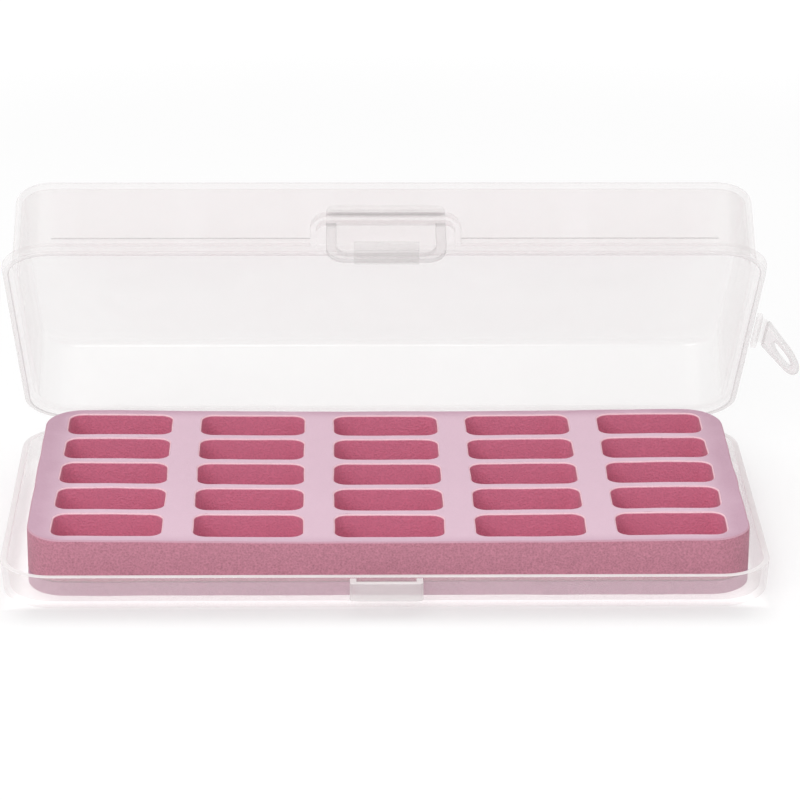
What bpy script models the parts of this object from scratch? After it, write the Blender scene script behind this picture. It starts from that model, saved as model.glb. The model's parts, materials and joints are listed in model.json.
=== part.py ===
"""Hinged clear case with a slotted foam insert.

Metres, +X to the right, +Y to the back (hinge side), +Z up.
The tray's underside stands on Z = 0, centred on the origin.
Lid pieces are modelled shut, from the hinge axis, and are opened by their parent empty.
"""

import math

import bmesh
import bpy

MM = 0.001

# Overall
CASE_WIDTH = 152.6 * MM
CASE_DEPTH = 79.5 * MM
CASE_CORNER = 10.5 * MM
SEAT_GAP = 0.3 * MM
CORNER_STEPS = 8
CORNER_ANGLE = 90.0
ROUND_MIDDLE = 0.3
WELD_DISTANCE = 0.01 * MM

# Tray
TRAY_HEIGHT = 7.0 * MM
TRAY_WALL = 1.3 * MM
TRAY_DRAFT = 0.5 * MM
TRAY_FOOT_ROUND = 0.8 * MM

# Lid
LID_HEIGHT = 17.6 * MM
LID_WALL = 1.15 * MM
LID_DRAFT = 0.4 * MM
LID_TOP_ROUND = 1.6 * MM
LIP_HEIGHT = 2.3 * MM
LIP_STEP = 2.2 * MM

# Rear hinge
HINGE_REACH = 1.6 * MM
HINGE_LEDGE_THICKNESS = 1.2 * MM
HINGE_LEDGE_WIDTH = 30.0 * MM
HINGE_FROM_END = 30.3 * MM
HINGE_END_GAP = 0.15 * MM
FILM_THICKNESS = 0.35 * MM
LEDGE_ROOT = 0.7 * MM
LID_OPENING = math.radians(46.0)

# Catch
CATCH_WIDTH = 14.4 * MM
CATCH_POST_WIDTH = 1.35 * MM
CATCH_REACH = 2.9 * MM
CATCH_BAR_THICKNESS = 1.3 * MM
CATCH_BELOW_RIM = 0.2 * MM
CATCH_ABOVE_FOOT = 3.0 * MM
CATCH_EDGE_ROUND = 0.2 * MM

# Latch
BOSS_WIDTH = 29.7 * MM
BOSS_HEIGHT = 6.3 * MM
BOSS_SHOULDER = 2.0 * MM
ROOT_BAR_WIDTH = 23.4 * MM
ROOT_BAR_HEIGHT = 1.5 * MM
ROOT_BAR_DROP = 0.95 * MM
LATCH_THICKNESS = 1.2 * MM
LATCH_WIDTH = 23.4 * MM
LATCH_LEG_WIDTH = 2.0 * MM
LATCH_HEAD = 3.3 * MM
LATCH_FOOT = 2.0 * MM
LATCH_CORNER = 3.8 * MM
LATCH_EDGE_GAP = 0.25 * MM
LATCH_HOOK_GAP = 0.45 * MM
GRIP_WIDTH = 12.7 * MM
GRIP_REACH = 2.5 * MM
GRIP_OVERHANG = 0.2 * MM
LATCH_SWING = math.radians(25.0)

# Hang tab
TAB_FROM_HINGE = 44.0 * MM
LUG_WIDTH = 13.8 * MM
LUG_REACH = 0.9 * MM
LUG_THICKNESS = 1.4 * MM
TAB_LENGTH = 10.8 * MM
TAB_ROOT_WIDTH = 10.6 * MM
TAB_TIP_RADIUS = 4.4 * MM
TAB_THICKNESS = 1.1 * MM
TAB_END_GAP = 0.7 * MM
TAB_HOLE_LENGTH = 6.2 * MM
TAB_HOLE_WIDTH = 4.8 * MM
TAB_HOLE_TO_TIP = 1.9 * MM
TAB_HOLE_ROUNDNESS = 0.96
TAB_DROOP = math.radians(55.0)

# Foam
FOAM_SIDE_GAP = 0.65 * MM
FOAM_END_GAP = 0.75 * MM
FOAM_CORNER = 8.2 * MM
FOAM_TOP = 12.85 * MM
FOAM_SIDE_SHIFT = 0.6 * MM
BACKING_THICKNESS = 2.0 * MM
SLOT_COLUMNS = 5
SLOT_ROWS = 5
SLOT_COLUMN_WEB = 5.8 * MM
SLOT_ROW_WEB = 2.4 * MM
SLOT_SIDE_MARGIN = 4.8 * MM
SLOT_END_MARGIN = 2.95 * MM
SLOT_CORNER = 3.0 * MM
SLOT_CORNER_STEPS = 4

# Places that follow from the sizes
HINGE_Y = CASE_DEPTH / 2 + HINGE_REACH
HINGE_Z = TRAY_HEIGHT + SEAT_GAP / 2
HINGE_X = CASE_WIDTH / 2 - HINGE_FROM_END
LID_RIM = SEAT_GAP / 2
LID_FRONT = -(CASE_DEPTH + HINGE_REACH)
LID_MIDDLE = -(CASE_DEPTH / 2 + HINGE_REACH)
LID_INSET = LIP_STEP + LID_DRAFT + LID_WALL
CATCH_HEIGHT = TRAY_HEIGHT - CATCH_BELOW_RIM - CATCH_ABOVE_FOOT
BOSS_BOTTOM = LID_RIM + LIP_HEIGHT + SEAT_GAP
BOSS_TOP = BOSS_BOTTOM + BOSS_HEIGHT
LATCH_FACE = LID_FRONT - SEAT_GAP - LATCH_THICKNESS
LATCH_AXIS_Z = BOSS_TOP - ROOT_BAR_DROP
LATCH_HOOK = LATCH_AXIS_Z + SEAT_GAP / 2 + CATCH_BELOW_RIM + CATCH_HEIGHT + LATCH_HOOK_GAP
TAB_AXIS_X = CASE_WIDTH / 2 + SEAT_GAP + LUG_REACH + TAB_END_GAP
TAB_AXIS_Z = LID_RIM + LUG_THICKNESS / 2
FOAM_BOTTOM = TRAY_WALL + SEAT_GAP
FOAM_WIDTH = CASE_WIDTH - 2 * (LID_INSET + FOAM_SIDE_GAP)
FOAM_DEPTH = CASE_DEPTH - 2 * (LID_INSET + FOAM_END_GAP)
SLOT_LENGTH = (FOAM_WIDTH - 2 * SLOT_SIDE_MARGIN + SLOT_COLUMN_WEB) / SLOT_COLUMNS - SLOT_COLUMN_WEB
SLOT_WIDTH = (FOAM_DEPTH - 2 * SLOT_END_MARGIN + SLOT_ROW_WEB) / SLOT_ROWS - SLOT_ROW_WEB
SLOT_COLUMN_PITCH = SLOT_LENGTH + SLOT_COLUMN_WEB
SLOT_ROW_PITCH = SLOT_WIDTH + SLOT_ROW_WEB


def start_clean():
    for old in list(bpy.data.objects):
        bpy.data.objects.remove(old, do_unlink=True)


def new_collection(name):
    collection = bpy.data.collections.new(name)
    bpy.context.scene.collection.children.link(collection)
    return collection


def plastic_material(name, colour, roughness, alpha=1.0):
    material = bpy.data.materials.new(name)
    material.use_nodes = True
    shader = material.node_tree.nodes["Principled BSDF"]
    shader.inputs["Base Color"].default_value = (*colour, 1.0)
    shader.inputs["Roughness"].default_value = roughness
    shader.inputs["Metallic"].default_value = 0.0
    shader.inputs["Alpha"].default_value = alpha
    material.diffuse_color = (*colour, alpha)
    return material


def place(obj, collection, material, location=(0, 0, 0), rotation=(0, 0, 0), parent=None):
    collection.objects.link(obj)
    if obj.data is not None and material is not None:
        obj.data.materials.append(material)
    obj.parent = parent
    obj.location = location
    obj.rotation_euler = rotation
    return obj


def axis_empty(name, collection, location, rotation, parent=None):
    empty = bpy.data.objects.new(name, None)
    return place(empty, collection, None, location, rotation, parent)


def rounded_rectangle(width, depth, radius, steps, centre=(0.0, 0.0)):
    """Points of a rounded rectangle, counter-clockwise from its right side."""
    points = []
    corners = ((1, 1), (-1, 1), (-1, -1), (1, -1))
    for number, (side_x, side_y) in enumerate(corners):
        centre_x = centre[0] + side_x * (width / 2 - radius)
        centre_y = centre[1] + side_y * (depth / 2 - radius)
        for step in range(steps + 1):
            angle = math.radians(CORNER_ANGLE * (number + step / steps))
            points.append((centre_x + radius * math.cos(angle), centre_y + radius * math.sin(angle)))
    return points


def flat_curve(name, outlines, thickness):
    """A closed plate from flat outlines; outlines inside the first one are holes."""
    curve = bpy.data.curves.new(name, "CURVE")
    curve.dimensions = "2D"
    curve.fill_mode = "BOTH"
    curve.extrude = thickness / 2
    for outline in outlines:
        spline = curve.splines.new("POLY")
        spline.points.add(len(outline) - 1)
        for point, (x, y) in zip(spline.points, outline):
            point.co = (x, y, 0.0, 1.0)
        spline.use_cyclic_u = True
    return curve


def plate(name, outlines, thickness):
    """The flat curve as a welded mesh, so that its caps and sides are one solid."""
    source = bpy.data.objects.new(name + "_outline", flat_curve(name + "_outline", outlines, thickness))
    bpy.context.scene.collection.objects.link(source)
    depsgraph = bpy.context.evaluated_depsgraph_get()
    mesh = bpy.data.meshes.new_from_object(source.evaluated_get(depsgraph))
    bpy.data.objects.remove(source, do_unlink=True)
    weld(mesh)
    mesh.name = name
    return bpy.data.objects.new(name, mesh)


def weld(mesh):
    work = bmesh.new()
    work.from_mesh(mesh)
    bmesh.ops.remove_doubles(work, verts=work.verts, dist=WELD_DISTANCE)
    bmesh.ops.recalc_face_normals(work, faces=work.faces)
    work.to_mesh(mesh)
    work.free()


def block(name, size, centre):
    """A box with its sizes and its place already in the mesh."""
    work = bmesh.new()
    bmesh.ops.create_cube(work, size=1.0)
    bmesh.ops.scale(work, vec=size, verts=work.verts)
    bmesh.ops.translate(work, vec=centre, verts=work.verts)
    mesh = bpy.data.meshes.new(name)
    work.to_mesh(mesh)
    work.free()
    return bpy.data.objects.new(name, mesh)


def moulded_shell(name, sections, radius, wall, centre_y=0.0):
    """An open shell lofted through rounded sections, closed at the first, then thickened inwards.

    Each section is (inset from the outline, height).
    """
    work = bmesh.new()
    rings = []
    for inset, height in sections:
        outline = rounded_rectangle(
            CASE_WIDTH - 2 * inset,
            CASE_DEPTH - 2 * inset,
            radius - inset,
            CORNER_STEPS,
            (0.0, centre_y),
        )
        rings.append([work.verts.new((x, y, height)) for x, y in outline])
    for first, second in zip(rings, rings[1:]):
        for i in range(len(first)):
            work.faces.new((first[i - 1], first[i], second[i], second[i - 1]))
    cap = work.faces.new(rings[0])
    bmesh.ops.recalc_face_normals(work, faces=work.faces)
    cap.normal_update()
    if cap.normal.z * (sections[0][1] - sections[-1][1]) < 0:
        bmesh.ops.reverse_faces(work, faces=work.faces)
    mesh = bpy.data.meshes.new(name)
    work.to_mesh(mesh)
    work.free()
    shell = bpy.data.objects.new(name, mesh)
    thickness = shell.modifiers.new("wall", "SOLIDIFY")
    thickness.thickness = wall
    thickness.offset = -1.0
    thickness.use_even_offset = True
    return shell


def cut_or_join(target, tool, operation):
    boolean = target.modifiers.new(operation.lower() + "_" + tool.name, "BOOLEAN")
    boolean.operation = operation
    boolean.solver = "EXACT"
    boolean.object = tool


def as_guide(obj, collection, parent=None):
    collection.objects.link(obj)
    obj.parent = parent
    obj.hide_render = True
    obj.display_type = "WIRE"
    return obj


def hinge_places():
    return (("left", -HINGE_X), ("right", HINGE_X))


def build_tray(parts, guides, clear):
    sections = (
        (TRAY_DRAFT + TRAY_FOOT_ROUND, 0.0),
        (TRAY_DRAFT + TRAY_FOOT_ROUND * ROUND_MIDDLE, TRAY_FOOT_ROUND * ROUND_MIDDLE),
        (TRAY_DRAFT, TRAY_FOOT_ROUND),
        (0.0, TRAY_HEIGHT - TRAY_WALL),
        (0.0, TRAY_HEIGHT),
    )
    tray = moulded_shell("base_tray", sections, CASE_CORNER, TRAY_WALL)
    place(tray, parts, clear)
    for side, x in hinge_places():
        front = CASE_DEPTH / 2 - LEDGE_ROOT
        back = HINGE_Y - HINGE_END_GAP
        ledge = block(
            "tray_ledge_" + side,
            (HINGE_LEDGE_WIDTH, back - front, HINGE_LEDGE_THICKNESS),
            (x, (front + back) / 2, TRAY_HEIGHT - HINGE_LEDGE_THICKNESS / 2),
        )
        as_guide(ledge, guides)
        cut_or_join(tray, ledge, "UNION")
    return tray


def build_catch(parts, clear):
    half = CATCH_WIDTH / 2
    inner = half - CATCH_POST_WIDTH
    wall = -CASE_DEPTH / 2 - SEAT_GAP
    front = -CASE_DEPTH / 2 - CATCH_REACH
    bar_back = front + CATCH_BAR_THICKNESS
    outline = [
        (-half, wall),
        (-half, front),
        (half, front),
        (half, wall),
        (inner, wall),
        (inner, bar_back),
        (-inner, bar_back),
        (-inner, wall),
    ]
    catch = plate("base_catch", [outline], CATCH_HEIGHT)
    height = TRAY_HEIGHT - CATCH_BELOW_RIM - CATCH_HEIGHT / 2
    place(catch, parts, clear, location=(0, 0, height))
    soften = catch.modifiers.new("soft_edges", "BEVEL")
    soften.width = CATCH_EDGE_ROUND
    soften.segments = 1
    return catch


def build_foam(parts, pink, backing_pink):
    centre = (FOAM_SIDE_SHIFT, 0.0)
    outer = rounded_rectangle(FOAM_WIDTH, FOAM_DEPTH, FOAM_CORNER, CORNER_STEPS, centre)
    backing = plate("foam_backing", [outer], BACKING_THICKNESS)
    place(backing, parts, backing_pink, location=(0, 0, FOAM_BOTTOM + BACKING_THICKNESS / 2))

    outlines = [outer]
    for column in range(SLOT_COLUMNS):
        for row in range(SLOT_ROWS):
            x = FOAM_SIDE_SHIFT + (column - (SLOT_COLUMNS - 1) / 2) * SLOT_COLUMN_PITCH
            y = (row - (SLOT_ROWS - 1) / 2) * SLOT_ROW_PITCH
            outlines.append(
                rounded_rectangle(SLOT_LENGTH, SLOT_WIDTH, SLOT_CORNER, SLOT_CORNER_STEPS, (x, y))
            )
    bottom = FOAM_BOTTOM + BACKING_THICKNESS + SEAT_GAP
    thickness = FOAM_TOP - bottom
    foam = plate("foam_block", outlines, thickness)
    place(foam, parts, pink, location=(0, 0, bottom + thickness / 2))


def build_lid(parts, guides, clear, hinge_axis):
    top = LID_RIM + LID_HEIGHT
    shoulder = LID_RIM + LIP_HEIGHT
    side = LIP_STEP + LID_DRAFT
    sections = (
        (side + LID_TOP_ROUND, top),
        (side + LID_TOP_ROUND * ROUND_MIDDLE, top - LID_TOP_ROUND * ROUND_MIDDLE),
        (side, top - LID_TOP_ROUND),
        (LIP_STEP, shoulder),
        (0.0, shoulder),
        (0.0, LID_RIM),
    )
    lid = moulded_shell("lid_shell", sections, CASE_CORNER, LID_WALL, LID_MIDDLE)
    place(lid, parts, clear, parent=hinge_axis)
    for side_name, x in hinge_places():
        front = -HINGE_REACH - LEDGE_ROOT
        back = -HINGE_END_GAP
        ledge = block(
            "lid_ledge_" + side_name,
            (HINGE_LEDGE_WIDTH, back - front, HINGE_LEDGE_THICKNESS),
            (x, (front + back) / 2, LID_RIM + HINGE_LEDGE_THICKNESS / 2),
        )
        as_guide(ledge, guides, hinge_axis)
        cut_or_join(lid, ledge, "UNION")
    return lid


def build_hinge_films(parts, clear):
    height = HINGE_LEDGE_THICKNESS - HINGE_END_GAP
    for side, x in hinge_places():
        film = block(
            "hinge_film_" + side,
            (HINGE_LEDGE_WIDTH - 2 * HINGE_END_GAP, FILM_THICKNESS, height),
            (0, FILM_THICKNESS / 2 + HINGE_END_GAP / 2, -height / 2 - HINGE_END_GAP / 2),
        )
        place(film, parts, clear, location=(x, HINGE_Y, HINGE_Z))


def build_latch(parts, guides, clear, lid_axis):
    boss_back = LID_FRONT + LIP_STEP - SEAT_GAP
    boss_depth = boss_back - LID_FRONT
    half = BOSS_WIDTH / 2
    corner = BOSS_SHOULDER * ROUND_MIDDLE
    outline = [
        (-half, BOSS_BOTTOM),
        (half, BOSS_BOTTOM),
        (half, BOSS_TOP - BOSS_SHOULDER),
        (half - corner, BOSS_TOP - corner),
        (half - BOSS_SHOULDER, BOSS_TOP),
        (-half + BOSS_SHOULDER, BOSS_TOP),
        (-half + corner, BOSS_TOP - corner),
        (-half, BOSS_TOP - BOSS_SHOULDER),
    ]
    boss = plate("lid_latch_boss", [outline], boss_depth)
    upright = (math.radians(CORNER_ANGLE), 0, 0)
    place(boss, parts, clear, (0, (boss_back + LID_FRONT) / 2, 0), upright, lid_axis)
    bar_bottom = LATCH_AXIS_Z + LATCH_EDGE_GAP
    bar_top = bar_bottom + ROOT_BAR_HEIGHT
    web_bottom = BOSS_TOP - SEAT_GAP
    web = block(
        "latch_root_web",
        (ROOT_BAR_WIDTH, boss_depth, bar_top - web_bottom),
        (0, (boss_back + LID_FRONT) / 2, (bar_top + web_bottom) / 2),
    )
    bar = block(
        "latch_root_bar",
        (ROOT_BAR_WIDTH, boss_back - LATCH_FACE, ROOT_BAR_HEIGHT),
        (0, (boss_back + LATCH_FACE) / 2, (bar_top + bar_bottom) / 2),
    )
    for tool in (web, bar):
        as_guide(tool, guides, lid_axis)
        cut_or_join(boss, tool, "UNION")

    axis_y = LATCH_FACE + FILM_THICKNESS / 2
    latch_axis = axis_empty(
        "latch_axis", guides, (0, axis_y, LATCH_AXIS_Z), (-LATCH_SWING, 0, 0), lid_axis
    )
    inner_half = LATCH_WIDTH / 2 - LATCH_LEG_WIDTH
    window_top = -LATCH_HEAD
    window_bottom = -LATCH_HOOK
    length = -window_bottom + LATCH_FOOT
    frame = bail_outline(LATCH_WIDTH / 2, -LATCH_EDGE_GAP, -length, LATCH_CORNER)
    window = bail_outline(inner_half, window_top, window_bottom, LATCH_CORNER - LATCH_LEG_WIDTH)
    flap = plate("latch_flap", [frame, window], LATCH_THICKNESS)
    flap_y = LATCH_THICKNESS / 2 - FILM_THICKNESS / 2
    place(flap, parts, clear, (0, flap_y, 0), upright, latch_axis)

    grip_back = -FILM_THICKNESS / 2 - SEAT_GAP
    grip_front = grip_back - GRIP_REACH + SEAT_GAP
    grip_outline = [
        (grip_back, window_bottom - SEAT_GAP),
        (grip_back, -length - GRIP_OVERHANG),
        (grip_front + GRIP_REACH / 2, -length - GRIP_OVERHANG),
        (grip_front, window_bottom - LATCH_FOOT / 2),
        (grip_front, window_bottom - SEAT_GAP),
    ]
    grip = plate("latch_grip", [grip_outline], GRIP_WIDTH)
    sideways = (math.radians(CORNER_ANGLE), 0, math.radians(CORNER_ANGLE))
    place(grip, parts, clear, (0, 0, 0), sideways, latch_axis)

    film = block(
        "latch_film",
        (LATCH_WIDTH - 2 * HINGE_END_GAP, FILM_THICKNESS, LATCH_EDGE_GAP),
        (0, 0, 0),
    )
    place(film, parts, clear, (0, axis_y, LATCH_AXIS_Z), (0, 0, 0), lid_axis)


def bail_outline(half_width, top, bottom, corner):
    """Square at the top, rounded at its two lower corners."""
    points = [(half_width, top), (-half_width, top)]
    for side, corner_number in ((-1, 2), (1, 3)):
        for step in range(CORNER_STEPS + 1):
            angle = math.radians(CORNER_ANGLE * (corner_number + step / CORNER_STEPS))
            x = side * (half_width - corner) + corner * math.cos(angle)
            points.append((x, bottom + corner + corner * math.sin(angle)))
    return points


def build_hang_tab(parts, guides, clear, lid_axis):
    inner = CASE_WIDTH / 2 + SEAT_GAP
    lug = block("hang_tab_lug", (LUG_REACH, LUG_WIDTH, LUG_THICKNESS), (0, 0, 0))
    place(lug, parts, clear, (inner + LUG_REACH / 2, -TAB_FROM_HINGE, TAB_AXIS_Z), parent=lid_axis)
    tab_axis = axis_empty(
        "tab_axis", guides, (TAB_AXIS_X, -TAB_FROM_HINGE, TAB_AXIS_Z), (0, TAB_DROOP, 0), lid_axis
    )
    tip = TAB_LENGTH + TAB_END_GAP
    outline = [(TAB_END_GAP, TAB_ROOT_WIDTH / 2), (TAB_END_GAP, -TAB_ROOT_WIDTH / 2)]
    for step in range(2 * CORNER_STEPS + 1):
        angle = math.radians(CORNER_ANGLE * (step / CORNER_STEPS - 1))
        x = tip - TAB_TIP_RADIUS + TAB_TIP_RADIUS * math.cos(angle)
        outline.append((x, TAB_TIP_RADIUS * math.sin(angle)))
    hole_middle = tip - TAB_HOLE_TO_TIP - TAB_HOLE_LENGTH / 2
    hole_radius = TAB_HOLE_WIDTH / 2 * TAB_HOLE_ROUNDNESS
    hole = rounded_rectangle(
        TAB_HOLE_LENGTH, TAB_HOLE_WIDTH, hole_radius, SLOT_CORNER_STEPS, (hole_middle, 0.0)
    )
    tab = plate("hang_tab", [outline, hole], TAB_THICKNESS)
    place(tab, parts, clear, parent=tab_axis)
    film = block(
        "tab_film",
        (2 * TAB_END_GAP - 2 * HINGE_END_GAP, TAB_ROOT_WIDTH, FILM_THICKNESS),
        (0, 0, 0),
    )
    place(film, parts, clear, (TAB_AXIS_X, -TAB_FROM_HINGE, TAB_AXIS_Z), parent=lid_axis)


def main():
    start_clean()
    parts = new_collection("hinged_foam_case")
    guides = new_collection("guides")
    clear = plastic_material("clear_polypropylene", (0.93, 0.93, 0.93), 0.25, 0.45)
    pink = plastic_material("pink_foam", (0.62, 0.20, 0.29), 0.95)
    backing_pink = plastic_material("pink_backing_foam", (0.55, 0.14, 0.22), 0.95)
    lid_axis = axis_empty("lid_axis", guides, (0, HINGE_Y, HINGE_Z), (-LID_OPENING, 0, 0))
    build_tray(parts, guides, clear)
    build_catch(parts, clear)
    build_foam(parts, pink, backing_pink)
    build_lid(parts, guides, clear, lid_axis)
    build_hinge_films(parts, clear)
    build_latch(parts, guides, clear, lid_axis)
    build_hang_tab(parts, guides, clear, lid_axis)


main()
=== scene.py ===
"""Hinged clear case with a slotted foam insert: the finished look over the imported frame."""

import json
import math

import bmesh
import bpy
from mathutils import Matrix, Vector, noise


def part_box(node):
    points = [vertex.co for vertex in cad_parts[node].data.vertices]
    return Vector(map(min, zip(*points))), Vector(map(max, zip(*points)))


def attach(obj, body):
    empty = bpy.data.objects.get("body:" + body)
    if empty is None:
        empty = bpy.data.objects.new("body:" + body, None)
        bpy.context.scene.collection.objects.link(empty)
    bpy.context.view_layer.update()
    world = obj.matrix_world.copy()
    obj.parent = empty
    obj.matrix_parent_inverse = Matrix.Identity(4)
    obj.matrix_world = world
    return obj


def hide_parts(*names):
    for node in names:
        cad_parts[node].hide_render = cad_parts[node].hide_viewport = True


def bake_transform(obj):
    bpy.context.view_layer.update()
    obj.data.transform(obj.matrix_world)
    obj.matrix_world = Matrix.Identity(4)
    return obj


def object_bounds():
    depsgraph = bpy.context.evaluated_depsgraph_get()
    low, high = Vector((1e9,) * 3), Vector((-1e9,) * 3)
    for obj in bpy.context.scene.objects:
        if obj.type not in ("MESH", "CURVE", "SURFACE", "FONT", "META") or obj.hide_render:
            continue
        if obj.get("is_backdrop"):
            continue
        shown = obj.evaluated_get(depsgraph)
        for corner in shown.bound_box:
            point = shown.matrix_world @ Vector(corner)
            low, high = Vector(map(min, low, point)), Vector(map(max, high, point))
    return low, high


MM = 0.001

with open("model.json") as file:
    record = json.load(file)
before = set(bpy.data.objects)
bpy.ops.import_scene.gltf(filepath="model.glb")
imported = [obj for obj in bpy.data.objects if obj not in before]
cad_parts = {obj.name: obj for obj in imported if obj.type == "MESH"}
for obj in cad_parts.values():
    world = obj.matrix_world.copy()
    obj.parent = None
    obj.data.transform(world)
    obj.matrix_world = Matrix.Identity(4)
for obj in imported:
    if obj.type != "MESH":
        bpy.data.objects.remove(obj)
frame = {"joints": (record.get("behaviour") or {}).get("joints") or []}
cad_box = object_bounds()
joints = {joint["name"]: joint for joint in frame["joints"]}

# Case
CASE_WIDTH = 152.6 * MM
CASE_DEPTH = 79.5 * MM
CASE_CORNER = 10.5 * MM
CORNER_STEPS = 20
BROAD_RING = 12.0 * MM
LID_RING = 14.0 * MM
ROOT_SINK = 0.05 * MM

# Tray
TRAY_HEIGHT = 7.0 * MM
TRAY_WALL = 1.3 * MM
TRAY_FLOOR = 0.85 * MM
TRAY_DRAFT = 0.5 * MM
TRAY_FOOT_ROUND = 1.1 * MM
TRAY_RIM_ROUND = 0.28 * MM
TRAY_INNER_ROUND = 1.0 * MM
# Depth of the painted white highlight line along the tray's rim.
TRAY_RIM_HIGHLIGHT_DEPTH = 0.12 * MM

# Lid, from its hinge axis
LID_TOP = 17.75 * MM
LID_WALL = 1.15 * MM
LID_DRAFT = 0.4 * MM
LIP_TOP = 2.45 * MM
LIP_ROUND = 0.9 * MM
LIP_LEAN = 0.5 * MM
LIP_STEP = 2.2 * MM
LID_RIM = 0.15 * MM
LID_TOP_ROUND = 1.9 * MM
LID_INNER_ROUND = 1.2 * MM
LIP_ROOT_ROUND = 0.35 * MM
LIP_CORNER_ROUND = 0.6 * MM
RIM_OUTER_ROUND = 0.25 * MM
RIM_INNER_ROUND = 0.2 * MM
# Height of the lid rim's painted rim shading, and width of its painted shade line.
RIM_SHADING_HEIGHT = 0.26 * MM
SHADE_LINE_WIDTH = 0.35 * MM
LIP_INNER_ROUND = 0.3 * MM
LIP_INNER_LEAN = 0.3 * MM
SEAM_HEIGHT = 1.9 * MM
SEAM_WIDTH = 0.22 * MM
SEAM_PROUD = 0.1 * MM
SEAM_EDGE = 0.08 * MM
HINGE_REACH = 1.6 * MM
LID_FRONT = -(CASE_DEPTH + HINGE_REACH)
LID_MIDDLE = -(CASE_DEPTH / 2 + HINGE_REACH)
LEDGE_THICKNESS = 1.2 * MM
LEDGE_WIDTH = 30.0 * MM
LEDGE_SPACING = 92.0 * MM
LEDGE_GAP = 0.15 * MM
LEDGE_EDGE = 0.2 * MM
LEDGE_SINK = 0.05 * MM
FILM = 0.35 * MM
FILM_RADIUS = 0.55 * MM
FILM_TAIL = 0.6 * MM
FILM_SHORTER = 1.0 * MM

# Latch, from the lid's hinge axis
BOSS_HALF = 14.85 * MM
BOSS_TOP = 9.05 * MM
BOSS_SHOULDER = 3.2 * MM
ROOT_BAR_LOW = 0.25 * MM
ROOT_BAR_HIGH = 1.75 * MM
ROOT_BAR_CORNER = 1.45 * MM
LATCH_AXIS_H = 8.1 * MM
LATCH_FACE = LID_FRONT - 1.5 * MM
BAIL_HALF = 11.7 * MM
BAIL_THICKNESS = 1.2 * MM
BAIL_LEG = 2.0 * MM
BAIL_HEAD = 3.3 * MM
BAIL_HEAD_THICKNESS = 0.7 * MM
BAIL_HOOK = 12.7 * MM
BAIL_LENGTH = 14.7 * MM
GRIP_HALF = 6.35 * MM
GRIP_REACH = 2.5 * MM
GRIP_RIB = 0.28 * MM
GRIP_RIBS = 3
PAD_EDGE = 0.3 * MM
PAD_BELOW_LIP = 0.7 * MM
BAR_SINK = 0.3 * MM
BAR_EDGE = 0.3 * MM
HEAD_SINK = 0.3 * MM
HEAD_BELOW_AXIS = 0.25 * MM
HEAD_EDGE = 0.2 * MM
GRIP_EDGE = 0.06 * MM
GRIP_SLANT = 0.1 * MM
HOLLOW_EDGE = 0.2 * MM
BAIL_EDGE = 0.25 * MM
BAIL_OUTER_CORNER = 3.8 * MM
BAIL_INNER_CORNER = 2.6 * MM
LATCH_FILM_BEND = 0.28 * MM
LATCH_FILM_TAIL = 0.75 * MM
LATCH_FILM_SHORTER = 1.2 * MM

# Hang tab, from the lid's hinge axis
TAB_FROM_HINGE = 44.0 * MM
TAB_AXIS_X = 78.2 * MM
TAB_AXIS_H = 0.85 * MM
TAB_GAP = 0.7 * MM
TAB_LENGTH = 10.8 * MM
TAB_DROOP = math.radians(55.0)
TAB_THICKNESS = 1.1 * MM
TAB_EDGE = 0.3 * MM
TAB_ROOT_HALF = 5.3 * MM
TAB_TIP_RADIUS = 4.4 * MM
TAB_HOLE_LENGTH = 6.2 * MM
TAB_HOLE_WIDTH = 4.8 * MM
TAB_HOLE_TO_TIP = 1.9 * MM
TAB_FILM_WIDTH = 10.4 * MM
TAB_FILM_BEND = 0.6 * MM
TAB_FILM_TAIL = 1.1 * MM
LUG_HALF = 6.9 * MM
LUG_THICKNESS = 1.4 * MM
LUG_EDGE = 0.25 * MM

# Catch
CATCH_HALF = 7.2 * MM
CATCH_POST = 1.35 * MM
CATCH_REACH = 2.9 * MM
CATCH_BAR = 1.3 * MM
CATCH_HEIGHT = 3.8 * MM
CATCH_CHAMFER = 0.5 * MM
CATCH_EDGE = 0.22 * MM
CATCH_BELOW_RIM = 0.2 * MM
CONTACT_SINK = 0.02 * MM

# Foam
SLOT_COLUMNS = 5
SLOT_ROWS = 5
COLUMN_PITCH = 28.0 * MM
ROW_PITCH = 13.4 * MM
SLOT_LENGTH = 21.7 * MM
SLOT_WIDTH = 11.0 * MM
SLOT_CORNER = 2.6 * MM
SLOT_SHIFT = 0.17 * MM
FOAM_CORNER = 8.2 * MM
FOAM_SAG = 0.45 * MM
FOAM_EDGE = 0.45 * MM
BACKING_EDGE = 0.3 * MM
BACKING_ABOVE_FLOOR = 0.05 * MM
BACKING_RISE = 0.25 * MM
CUT_MARGIN = 0.4 * MM
CUT_WANDER = 0.2 * MM
OUTLINE_SPACING = 2.5 * MM
SLOT_SPACING = 1.6 * MM
SAG_BANDS = 24
FOAM_HALF_LENGTH = 71.9 * MM
FOAM_HALF_WIDTH = 35.25 * MM
FOAM_MIDDLE_X = 0.6 * MM

# Looks
CLEAR_TINT = (0.988, 0.985, 0.984, 1.0)
HAZE_FROM_BEHIND = 0.45
MIRROR_SQUARE_ON = 0.03
MIRROR_EDGE_ON = 0.35
FACE_WHITE = 0.97
# Grey haze of the painted shade lines along corners and seams.
SHADE_LINE_MILK = 0.5
SHADE_LINE_WHITE = 0.68
# Looks: broad face, painted rim shading, painted shade line.
BROAD, PAINTED_RIM_SHADING, PAINTED_SHADE_LINE = 0, 1, 2
FOAM_CELL = 0.42 * MM
FOAM_CLOUD = 9.0 * MM
PORE_DEPTH = 0.18 * MM
SKIN_PINK = (0.79, 0.56, 0.67)
# Shares of the skin colour where the foam top is darker near its edges.
EDGE_DARKENING_SHARES = (0.7, 0.58, 0.64)
FLOOR_GLOW = 0.42
# Painted pool of light: the floor's stronger glow under the case.
PAINTED_LIGHT_UNDER_CASE = 0.85
# Painted shadow: the floor's weaker glow just in front of the case.
PAINTED_SHADOW_GLOW = 0.28
FAR_GLOW = 0.8

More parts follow.
